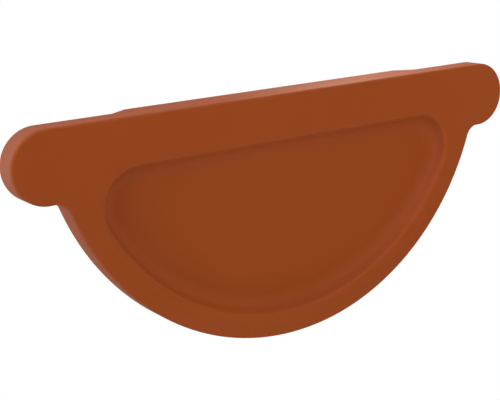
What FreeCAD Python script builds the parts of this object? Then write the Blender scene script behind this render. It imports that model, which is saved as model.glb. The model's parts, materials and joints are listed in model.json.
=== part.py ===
"""Half-round gutter end cap, pressed from one piece of coated steel sheet.

The front is a half-round plate with a round ear at each end of its straight top.
A shallow dish is pressed into the plate, and the whole edge is folded back as a
flange that slides over the gutter's end. Along the top the flange has a deeper tab.

Frame: the origin is on the gutter's axis, in the plane that the gutter's end stops
against. +X runs along the top edge, +Y points back into the gutter and +Z is up.
All sizes are in millimetres.
"""

import math
import os

import FreeCAD
import Part

# The gutter that the cap closes, and the play between its outside and the flange
GUTTER_BORE = 125.0
GUTTER_SHEET = 0.6
SEAT_CLEARANCE = 0.4

# The cap's own sheet and its flange, folded so sharply that the fold is square inside
SHEET = 0.6
FLANGE_DEPTH = 6.0

# The straight top edge, the ears that stand out at its ends, and the hollow neck under each ear
TOP_BELOW_AXIS = 2.8
EAR_RADIUS = 8.4
EAR_REACH = 8.9
NECK_RADIUS = 3.8

# The dish, seen from the front, with the radius inside the bend at its crest and at its foot
RIM_WIDTH = 6.0
TOP_BAND = 11.3
DISH_DEPTH = 4.6
DISH_SLOPE_DEG = 68.0
DISH_CORNER_RADIUS = 9.5
CREST_INNER_RADIUS = 0.8
FOOT_INNER_RADIUS = 4.2

# The tab of the top flange, which starts some way in from the ears and has sloping ends
TAB_START = 18.9
TAB_END_RUN = 4.9
TAB_EXTRA = 3.0
TAB_CORNER_RADIUS = 1.5

# Sizes that follow from those above
half_round_radius = GUTTER_BORE / 2 + GUTTER_SHEET + SEAT_CLEARANCE + SHEET
crest_radius = CREST_INNER_RADIUS + SHEET
top_z = -TOP_BELOW_AXIS
ear_x = half_round_radius + EAR_REACH - EAR_RADIUS
ear_z = top_z - EAR_RADIUS
front_y = -SHEET
flange_edge_y = front_y + FLANGE_DEPTH
tab_edge_y = flange_edge_y + TAB_EXTRA

# Cutting shapes run past the material by one sheet's thickness
overrun = SHEET

# Places and lengths that differ by less are the same
SAME = Part.Precision.approximation()


def at(x, y, z):
    return FreeCAD.Vector(x, y, z)


def mirrored(place):
    return at(-place.x, place.y, place.z)


def toward(start, goal, distance):
    """The point at that distance from start, on the line to goal."""
    return start + (goal - start).normalize() * distance


def lies_at(shape, y):
    """Whether an edge or face lies flat in the plane at that y."""
    box = shape.BoundBox
    return max(abs(box.YMin - y), abs(box.YMax - y)) < SAME


def prism(corners, along):
    """The straight-sided solid over the polygon of those corners."""
    return Part.Face(Part.makePolygon(corners + corners[:1])).extrude(along)


def neck_centre():
    """Centre of the hollow arc that touches the right ear and the half-round from outside."""
    to_axis = half_round_radius + NECK_RADIUS
    to_ear = EAR_RADIUS + NECK_RADIUS
    axis_to_ear = math.hypot(ear_x, ear_z)
    cosine = (to_axis**2 + axis_to_ear**2 - to_ear**2) / (2 * to_axis * axis_to_ear)
    angle = math.atan2(ear_z, ear_x) - math.acos(cosine)
    return at(to_axis * math.cos(angle), 0, to_axis * math.sin(angle))


def dish_corner():
    """Centre of the round corner at the right end of the dish's top."""
    z = top_z - TOP_BAND - DISH_CORNER_RADIUS
    to_axis = half_round_radius - RIM_WIDTH - DISH_CORNER_RADIUS
    return at(math.sqrt(to_axis**2 - z**2), 0, z)


def outline(inset):
    """The cap's outline as a face in the plane y = 0, moved inward by inset."""
    axis = at(0, 0, 0)
    ear = at(ear_x, 0, ear_z)
    neck = neck_centre()
    ear_radius = EAR_RADIUS - inset
    round_radius = half_round_radius - inset
    neck_radius = NECK_RADIUS + inset

    ear_top = ear + at(0, 0, ear_radius)
    ear_tip = ear + at(ear_radius, 0, 0)
    ear_end = toward(ear, neck, ear_radius)
    round_end = toward(axis, neck, round_radius)
    neck_middle = toward(neck, (ear_end + round_end) / 2, neck_radius)
    bottom = at(0, 0, -round_radius)

    curves = [
        Part.LineSegment(mirrored(ear_top), ear_top),
        Part.Arc(ear_top, ear_tip, ear_end),
        Part.Arc(ear_end, neck_middle, round_end),
        Part.Arc(round_end, bottom, mirrored(round_end)),
        Part.Arc(mirrored(round_end), mirrored(neck_middle), mirrored(ear_end)),
        Part.Arc(mirrored(ear_end), mirrored(ear_tip), mirrored(ear_top)),
    ]
    return Part.Face(Part.Wire([curve.toShape() for curve in curves]))


def dish(inset):
    """The hollow that the dish leaves in the surface lying inset behind the sheet's front.

    Its sloping wall follows the straight top, turns about each corner, and runs on
    about the gutter's axis. It meets the dish's floor in a round foot.
    """
    slope = math.radians(DISH_SLOPE_DEG)
    mouth_y = front_y + inset
    start_y = mouth_y - overrun
    floor_y = mouth_y + DISH_DEPTH

    # The deeper in the sheet a surface lies, the wider its dish is at the mouth
    mouth_reach = DISH_CORNER_RADIUS + inset * math.tan(slope / 2)
    start_reach = mouth_reach + overrun / math.tan(slope)
    floor_reach = mouth_reach - DISH_DEPTH / math.tan(slope)

    # The wall's section at the right corner, from the corner's centre out to the wall
    corner = dish_corner()
    section = Part.Face(
        Part.makePolygon(
            [
                at(corner.x, start_y, corner.z),
                at(corner.x, start_y, corner.z + start_reach),
                at(corner.x, floor_y, corner.z + floor_reach),
                at(corner.x, floor_y, corner.z),
                at(corner.x, start_y, corner.z),
            ]
        )
    )
    axis = at(0, 0, 0)
    back = at(0, 1, 0)
    corner_turn = math.degrees(math.atan2(corner.x, corner.z))
    under_top = section.extrude(at(-2 * corner.x, 0, 0))
    right_corner = section.revolve(corner, back, corner_turn)
    left_corner = right_corner.mirror(axis, at(1, 0, 0))
    section.rotate(corner, back, corner_turn)
    half_round = section.revolve(axis, back, 2 * (180 - corner_turn))

    # What lies between the two corners and the half-round
    left = at(-corner.x, start_y, corner.z)
    right = at(corner.x, start_y, corner.z)
    lowest = at(0, start_y, -corner.Length)
    edges = [Part.LineSegment(left, right), Part.Arc(right, lowest, left)]
    middle = Part.Face(Part.Wire([edge.toShape() for edge in edges]))
    middle = middle.extrude(at(0, floor_y - start_y, 0))

    hollow = middle.multiFuse([under_top, right_corner, left_corner, half_round]).removeSplitter()
    foot_edges = [edge for edge in hollow.Edges if lies_at(edge, floor_y)]
    return hollow.makeFillet(FOOT_INNER_RADIUS + inset, foot_edges)


def skin(inset, back_y):
    """Everything behind the surface that lies inset behind the sheet's front, as far as back_y."""
    mouth_y = front_y + inset
    body = outline(inset)
    body.translate(at(0, mouth_y, 0))
    body = body.extrude(at(0, back_y - mouth_y, 0))
    if inset < SHEET:
        fold_edges = [edge for edge in body.Edges if lies_at(edge, mouth_y)]
        body = body.makeFillet(SHEET - inset, fold_edges)

    body = body.cut(dish(inset))
    (rim,) = [face for face in body.Faces if lies_at(face, mouth_y)]
    (mouth,) = [wire for wire in rim.Wires if not wire.isSame(rim.OuterWire)]
    return body.makeFillet(crest_radius - inset, mouth.Edges)


def trim():
    """The space that the trimmed flange keeps to: one depth all round, and the tab at the top."""
    reach = half_round_radius + EAR_REACH + overrun
    depth = FLANGE_DEPTH + overrun
    bottom = -half_round_radius - overrun
    top = top_z + overrun
    even = Part.makeBox(2 * reach, depth, top - bottom, at(-reach, flange_edge_y - depth, bottom))

    tab_bottom = top_z - SHEET - overrun
    foot_x = ear_x - TAB_START
    end_x = foot_x - TAB_END_RUN
    right_side = [
        at(end_x, tab_edge_y, tab_bottom),
        at(foot_x, flange_edge_y, tab_bottom),
        at(foot_x, front_y, tab_bottom),
    ]
    left_side = [mirrored(place) for place in reversed(right_side)]
    tab = prism(right_side + left_side, at(0, 0, top - tab_bottom))

    whole = even.fuse(tab).removeSplitter()
    upright = [edge for edge in whole.Edges if edge.Length - edge.BoundBox.ZLength < SAME]
    tab_corners = [edge for edge in upright if abs(edge.CenterOfMass.x) < ear_x]
    return whole.makeFillet(TAB_CORNER_RADIUS, tab_corners)


def end_cap():
    """The sheet between its front skin and its back skin, trimmed at the flange's edge."""
    front = skin(0, tab_edge_y)
    back = skin(SHEET, tab_edge_y + overrun)
    (cap,) = front.cut(back).common(trim()).Solids
    return cap


os.makedirs("parts", exist_ok=True)
end_cap().exportStep("parts/end_cap.step")
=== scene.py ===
import json
import math

import bpy
from mathutils import Matrix, Vector

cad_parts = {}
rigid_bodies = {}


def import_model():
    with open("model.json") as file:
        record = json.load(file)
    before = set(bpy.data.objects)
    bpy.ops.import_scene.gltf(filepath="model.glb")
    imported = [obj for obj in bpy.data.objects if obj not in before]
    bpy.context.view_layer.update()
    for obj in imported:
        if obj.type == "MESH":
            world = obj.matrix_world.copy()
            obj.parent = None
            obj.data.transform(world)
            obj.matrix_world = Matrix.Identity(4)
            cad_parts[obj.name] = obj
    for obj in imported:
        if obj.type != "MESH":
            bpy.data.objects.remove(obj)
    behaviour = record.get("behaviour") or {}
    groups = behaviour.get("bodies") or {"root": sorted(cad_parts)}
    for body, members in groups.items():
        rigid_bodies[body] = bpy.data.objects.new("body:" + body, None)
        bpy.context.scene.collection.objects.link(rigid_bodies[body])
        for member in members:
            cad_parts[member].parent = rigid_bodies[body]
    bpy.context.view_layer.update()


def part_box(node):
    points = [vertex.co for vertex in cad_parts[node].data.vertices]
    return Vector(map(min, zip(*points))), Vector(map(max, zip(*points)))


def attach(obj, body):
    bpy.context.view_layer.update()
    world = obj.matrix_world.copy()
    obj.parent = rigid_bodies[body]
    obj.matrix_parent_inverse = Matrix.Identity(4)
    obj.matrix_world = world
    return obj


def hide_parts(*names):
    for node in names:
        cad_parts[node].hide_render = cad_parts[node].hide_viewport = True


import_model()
bpy.ops.object.select_all(action="DESELECT")

# The pressed cap: one piece of steel sheet, coated in copper brown on both sides. The press dishes
# its face, folds its whole edge back as a flange, and leaves a deeper tab along the straight top.
MM = 0.001
sheet = 0.6 * MM
fold_radius = sheet
flange_depth = 6.0 * MM
half_round_radius = 64.1 * MM
ear_radius = 8.4 * MM
neck_radius = 3.8 * MM
rim_width = 6.0 * MM
top_band = 11.3 * MM
dish_depth = 4.6 * MM
dish_slope = math.radians(68)
dish_corner_radius = 9.5 * MM
crest_radius = 1.4 * MM
foot_radius = 4.2 * MM
tab_start = 18.9 * MM
tab_end_run = 4.9 * MM
tab_corner_radius = 1.5 * MM
tab_corner_steps = 6
bend_steps = 8

cap_low, cap_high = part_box("end_cap")
front_y = cap_low.y
floor_y = front_y + dish_depth
tab_extra = cap_high.y - front_y - flange_depth
top_z = cap_high.z
axis = Vector((0, front_y, 0))
ear = Vector((cap_high.x - ear_radius, front_y, top_z - ear_radius))
tab_foot_x = ear.x - tab_start

# The neck under the ear is a hollow arc that touches the ear and the half-round from outside
to_ear = (ear - axis).length
to_neck = half_round_radius + neck_radius
ear_to_neck = ear_radius + neck_radius
cosine = (to_neck**2 + to_ear**2 - ear_to_neck**2) / (2 * to_neck * to_ear)
bearing = math.atan2(ear.z, ear.x) - math.acos(cosine)
neck = axis + to_neck * Vector((math.cos(bearing), 0, math.sin(bearing)))


def from_up(direction):
    """How far a direction in the face is turned from straight up, clockwise seen from the front."""
    return math.atan2(direction.x, direction.z) % math.tau


def start_at(place):
    bpy.ops.mesh.select_all(action="DESELECT")
    bpy.ops.mesh.primitive_plane_add(location=place)
    bpy.ops.mesh.merge(type="CENTER")


def go(x=0, y=0, z=0):
    bpy.ops.mesh.extrude_region_move(TRANSFORM_OT_translate={"value": (x, y, z)})


def turn(centre, angle, steps):
    """Carries the line on round centre, clockwise seen from the front."""
    bpy.ops.mesh.spin(steps=steps, angle=-angle, center=centre, axis=(0, 1, 0))


def name_line(name):
    bpy.ops.mesh.select_linked()
    cap.vertex_groups.active = cap.vertex_groups.new(name=name)
    bpy.ops.object.vertex_group_assign()


def pick_lines(*names):
    bpy.ops.mesh.select_all(action="DESELECT")
    for name in names:
        cap.vertex_groups.active = cap.vertex_groups[name]
        bpy.ops.object.vertex_group_select()


bpy.ops.mesh.primitive_plane_add()
cap = bpy.context.object
cap.name = "pressed_cap"
bpy.ops.object.mode_set(mode="EDIT")
bpy.ops.mesh.delete(type="VERT")
bpy.ops.mesh.select_mode(type="VERT")

# The right half of the fold's line, from the middle of the top round the ear and neck to the bottom
ear_steps = 24
neck_steps = 12
round_steps = 56
ear_turn = from_up(neck - ear)
neck_turn = (from_up(ear - neck) - from_up(axis - neck)) % math.tau
start_at(axis + Vector((0, 0, top_z)))
go(x=tab_foot_x)
go(x=tab_start)
turn(ear, ear_turn, ear_steps)
turn(neck, -neck_turn, neck_steps)
turn(axis, math.pi - from_up(neck - axis), round_steps)
name_line("fold")

# The dish's mouth and its foot, drawn with as many corners as the fold's line
narrowing = dish_depth / math.tan(dish_slope)
for name, inset, y in (("crest", 0, front_y), ("foot", narrowing, floor_y)):
    radius = half_round_radius - rim_width - inset
    line_z = top_z - top_band - inset
    corner_radius = dish_corner_radius - inset
    corner_z = line_z - corner_radius
    corner_x = math.sqrt((radius - corner_radius) ** 2 - corner_z**2)
    corner = Vector((corner_x, y, corner_z))
    centre = Vector((0, y, 0))
    start_at(Vector((0, y, line_z)))
    go(x=corner_x * tab_foot_x / ear.x)
    go(x=corner_x * tab_start / ear.x)
    turn(corner, from_up(corner - centre), ear_steps + neck_steps)
    turn(centre, math.pi - from_up(corner - centre), round_steps)
    name_line(name)


def pick_corners(*places):
    """Selects the corners of the mesh that lie at those places."""
    bpy.ops.mesh.select_all(action="DESELECT")
    bpy.ops.object.mode_set(mode="OBJECT")
    for corner in cap.data.vertices:
        corner.select = any((corner.co - place).length < sheet / 10 for place in places)
    bpy.ops.object.mode_set(mode="EDIT")


# The flat rim lies between the fold and the dish's mouth, and the dish's wall between mouth and foot
mouth_top = Vector((0, front_y, top_z - top_band))
mouth_bottom = Vector((0, front_y, rim_width - half_round_radius))
fold_top = Vector((0, front_y, top_z))
fold_bottom = Vector((0, front_y, -half_round_radius))
for ends in ((fold_top, mouth_top), (fold_bottom, mouth_bottom)):
    pick_corners(*ends)
    bpy.ops.mesh.edge_face_add()
pick_lines("fold", "crest")
bpy.ops.mesh.edge_face_add()
pick_lines("crest", "foot")
bpy.ops.mesh.bridge_edge_loops()

# The flange, and the tab: the back edge of its top pulled further back, with a sloping end
pick_lines("fold")
cap.vertex_groups.active = cap.vertex_groups["fold"]
go(y=flange_depth)
bpy.ops.object.vertex_group_remove_from()
back_middle = Vector((0, front_y + flange_depth, top_z))
tab_foot = back_middle + Vector((tab_foot_x, 0, 0))
pick_corners(back_middle, tab_foot)
go(y=tab_extra)
tab_end = tab_foot + Vector((-tab_end_run, tab_extra, 0))
pick_corners(tab_foot + Vector((0, tab_extra, 0)))
bpy.ops.transform.translate(value=(-tab_end_run, 0, 0))
top_stops = (0, tab_foot_x, ear.x)
top_corners = [back_middle + Vector((x, y, 0)) for x in top_stops for y in (0, -flange_depth)]
pick_corners(*top_corners, tab_end, back_middle + Vector((0, tab_extra, 0)))
bpy.ops.mesh.dissolve_faces()
pick_corners(tab_foot, tab_end)
slant = math.atan2(tab_extra, tab_end_run)
tab_corner_setback = tab_corner_radius * math.tan(slant / 2)
bpy.ops.mesh.bevel(offset=tab_corner_setback, segments=tab_corner_steps, affect="VERTICES")

# Both halves, the dish's floor, and the round bends
bpy.ops.object.mode_set(mode="OBJECT")
mirror = cap.modifiers.new("both halves", "MIRROR")
mirror.merge_threshold = sheet / 100
bpy.ops.object.modifier_apply(modifier=mirror.name)
bpy.ops.object.mode_set(mode="EDIT")
pick_lines("foot")
bpy.ops.mesh.edge_face_add()
bpy.ops.mesh.select_all(action="SELECT")
bpy.ops.mesh.normals_make_consistent(inside=False)
setbacks = {
    "fold": fold_radius * math.tan(math.pi / 4),
    "crest": crest_radius * math.tan(dish_slope / 2),
    "foot": foot_radius * math.tan(dish_slope / 2),
}
widest = max(setbacks.values())
for name, setback in setbacks.items():
    pick_lines(name)
    bpy.ops.transform.edge_bevelweight(value=setback / widest)
bpy.ops.object.mode_set(mode="OBJECT")
bends = cap.modifiers.new("bends", "BEVEL")
bends.limit_method = "WEIGHT"
bends.width = widest
bends.segments = bend_steps
bends.use_clamp_overlap = False
bpy.ops.object.modifier_apply(modifier=bends.name)
sharpest_smooth = math.radians(30)
bpy.ops.object.shade_smooth_by_angle(angle=sharpest_smooth)
sheet_back = cap.modifiers.new("sheet", "SOLIDIFY")
sheet_back.thickness = sheet
sheet_back.offset = -1
sheet_back.use_even_offset = True
bpy.ops.object.modifier_apply(modifier=sheet_back.name)

# The coat: a satin paint layer, its tone and sheen a little uneven, with a fine orange peel
coat = bpy.data.materials.new("coated_steel")
coat.use_nodes = True
nodes = coat.node_tree.nodes
links = coat.node_tree.links
shader = nodes["Principled BSDF"]
shader.inputs["Specular IOR Level"].default_value = 0.2
place = nodes.new("ShaderNodeTexCoord")
drift = nodes.new("ShaderNodeTexNoise")
drift.inputs["Scale"].default_value = 25
drift.inputs["Detail"].default_value = 3
links.new(place.outputs["Object"], drift.inputs["Vector"])
tone = nodes.new("ShaderNodeValToRGB")
tone.color_ramp.elements[0].position = 0.3
tone.color_ramp.elements[0].color = (0.266, 0.0520, 0.0099, 1)
tone.color_ramp.elements[1].position = 0.7
tone.color_ramp.elements[1].color = (0.280, 0.0552, 0.0109, 1)
links.new(drift.outputs["Fac"], tone.inputs["Fac"])
links.new(tone.outputs["Color"], shader.inputs["Base Color"])
sheen = nodes.new("ShaderNodeMapRange")
sheen.inputs["From Min"].default_value = 0.3
sheen.inputs["From Max"].default_value = 0.7
sheen.inputs["To Min"].default_value = 0.46
sheen.inputs["To Max"].default_value = 0.54
links.new(drift.outputs["Fac"], sheen.inputs["Value"])
links.new(sheen.outputs["Result"], shader.inputs["Roughness"])
grain = nodes.new("ShaderNodeTexNoise")
grain.inputs["Scale"].default_value = 900
links.new(place.outputs["Object"], grain.inputs["Vector"])
peel = nodes.new("ShaderNodeBump")
peel.inputs["Strength"].default_value = 0.1
peel.inputs["Distance"].default_value = 0.02 * MM
links.new(grain.outputs["Fac"], peel.inputs["Height"])
links.new(peel.outputs["Normal"], shader.inputs["Normal"])
cap.data.materials.clear()
cap.data.materials.append(coat)
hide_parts("end_cap")
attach(cap, "root")

# A round floor of plain pale paper well below the cap, which hangs free above it. The floor throws
# light back up at the cap and stays out of the coat's shine.
floor_radius = 0.4
floor_middle = (0, 0, -0.3)
bpy.ops.mesh.primitive_circle_add(vertices=96, radius=floor_radius, fill_type="NGON", location=floor_middle)
floor = bpy.context.object
floor.name = "floor"
paper = bpy.data.materials.new("floor_paper")
paper.use_nodes = True
paper.node_tree.nodes["Principled BSDF"].inputs["Base Color"].default_value = (0.8, 0.8, 0.8, 1)
paper.node_tree.nodes["Principled BSDF"].inputs["Roughness"].default_value = 0.9
floor.data.materials.append(paper)
floor.visible_glossy = False

# Light as in a white tent. The camera sees plain white all round. The coat's shine sees a room that
# is brighter above, on the left and behind on the left.
world = bpy.data.worlds.new("studio")
bpy.context.scene.world = world
world.use_nodes = True
world_nodes = world.node_tree.nodes
world_links = world.node_tree.links
path = world_nodes.new("ShaderNodeLightPath")
sight = world_nodes.new("ShaderNodeTexCoord")


def glow(direction, start, least, most):
    """A strength that grows from least to most as the sight turns towards a direction.

    It starts to grow where the cosine of the angle between the two passes start.
    """
    along = world_nodes.new("ShaderNodeVectorMath")
    along.operation = "DOT_PRODUCT"
    along.inputs[1].default_value = direction
    world_links.new(sight.outputs["Generated"], along.inputs[0])
    fade = world_nodes.new("ShaderNodeMapRange")
    fade.interpolation_type = "SMOOTHSTEP"
    fade.inputs["From Min"].default_value = start
    fade.inputs["To Min"].default_value = least
    fade.inputs["To Max"].default_value = most
    world_links.new(along.outputs["Value"], fade.inputs["Value"])
    return fade.outputs["Result"]


def combine(operation, first, second):
    made = world_nodes.new("ShaderNodeMath")
    made.operation = operation
    world_links.new(first, made.inputs[0])
    world_links.new(second, made.inputs[1])
    return made.outputs["Value"]


sides = combine("ADD", glow((-1, 0, 0), 0, 0, 2.4), glow((-0.6, 0.77, 0.2), 0.5, 0, 0.7))
shine = combine("ADD", glow((0, 0, 1), 0, 0.2, 1.3), sides)
seen = combine("MAXIMUM", path.outputs["Is Camera Ray"], path.outputs["Is Transmission Ray"])
strength = combine("ADD", seen, combine("MULTIPLY", shine, path.outputs["Is Glossy Ray"]))
world_links.new(strength, world_nodes["Background"].inputs["Strength"])
world_nodes["Background"].inputs["Color"].default_value = (1, 1, 1, 1)

# Soft lamps stand round the cap at one distance and don't show in the coat's shine. The low ones
# shine up past the floor's edge. Each has its degrees to the right of the cap's front, its degrees
# above level, and its power.
lamp_distance = 1.0
lamp_width = 0.5
cap_middle = Vector((0, 0, -0.03))
lamps = {
    "upper_front_lamp": (0, 35, 4.0),
    "lower_front_lamp": (30, -27, 5.2),
    "upper_left_lamp": (-60, 35, 2.4),
    "lower_left_lamp": (-70, -22, 3.3),
    "high_left_lamp": (-90, 60, 4.0),
    "rear_left_lamp": (-115, 30, 0.6),
    "right_lamp": (84, -5, 2.0),
    "top_lamp": (0, 85, 1.9),
    "rear_lamp": (170, -8, 8.0),
    "rear_right_lamp": (110, -5, 4.0),
}
for name, (bearing, height, power) in lamps.items():
    bearing = math.radians(bearing)
    height = math.radians(height)
    level_reach = math.cos(height)
    out = Vector((math.sin(bearing) * level_reach, -math.cos(bearing) * level_reach, math.sin(height)))
    bpy.ops.object.light_add(type="AREA", location=cap_middle + lamp_distance * out)
    lamp = bpy.context.object
    lamp.name = name
    lamp.data.shape = "DISK"
    lamp.data.size = lamp_width
    lamp.data.energy = power
    lamp.rotation_euler = out.to_track_quat("Z", "Y").to_euler()
    lamp.visible_glossy = False

# A small warm lamp behind the cap, whose soft spot lies on the right half of the top flange
spot_place = Vector((0.11, 0.12, 0.13))
spot_aim = Vector((0.034, 0.004, top_z))
bpy.ops.object.light_add(type="SPOT", location=spot_place)
spot = bpy.context.object
spot.name = "flange_lamp"
spot.data.spot_size = math.radians(24)
spot.data.spot_blend = 1
spot.data.shadow_soft_size = 0.02
spot.data.energy = 0.75
spot.data.color = (1, 0.9, 0.72)
spot.rotation_euler = (spot_place - spot_aim).to_track_quat("Z", "Y").to_euler()

# The camera stands a little above the cap and to its left, as in the photograph
yaw = math.radians(34.601)
pitch = math.radians(14.488)
roll = math.radians(-2.128)
back = Vector((-math.sin(yaw) * math.cos(pitch), -math.cos(yaw) * math.cos(pitch), math.sin(pitch)))
level = Vector((math.cos(yaw), -math.sin(yaw), 0))
upright = back.cross(level)
right = math.cos(roll) * level + math.sin(roll) * upright
up = -math.sin(roll) * level + math.cos(roll) * upright
camera = bpy.data.objects.new("camera", bpy.data.cameras.new("camera"))
bpy.context.scene.collection.objects.link(camera)
camera.data.sensor_width = 36
camera.data.lens = 79.55
camera.data.clip_start = 0.01
stand = Vector((-0.158898, -0.211475, 0.038968))
camera.matrix_world = Matrix.Translation(stand) @ Matrix((right, up, back)).transposed().to_4x4()
bpy.context.scene.camera = camera
bpy.context.scene.view_settings.view_transform = "Standard"
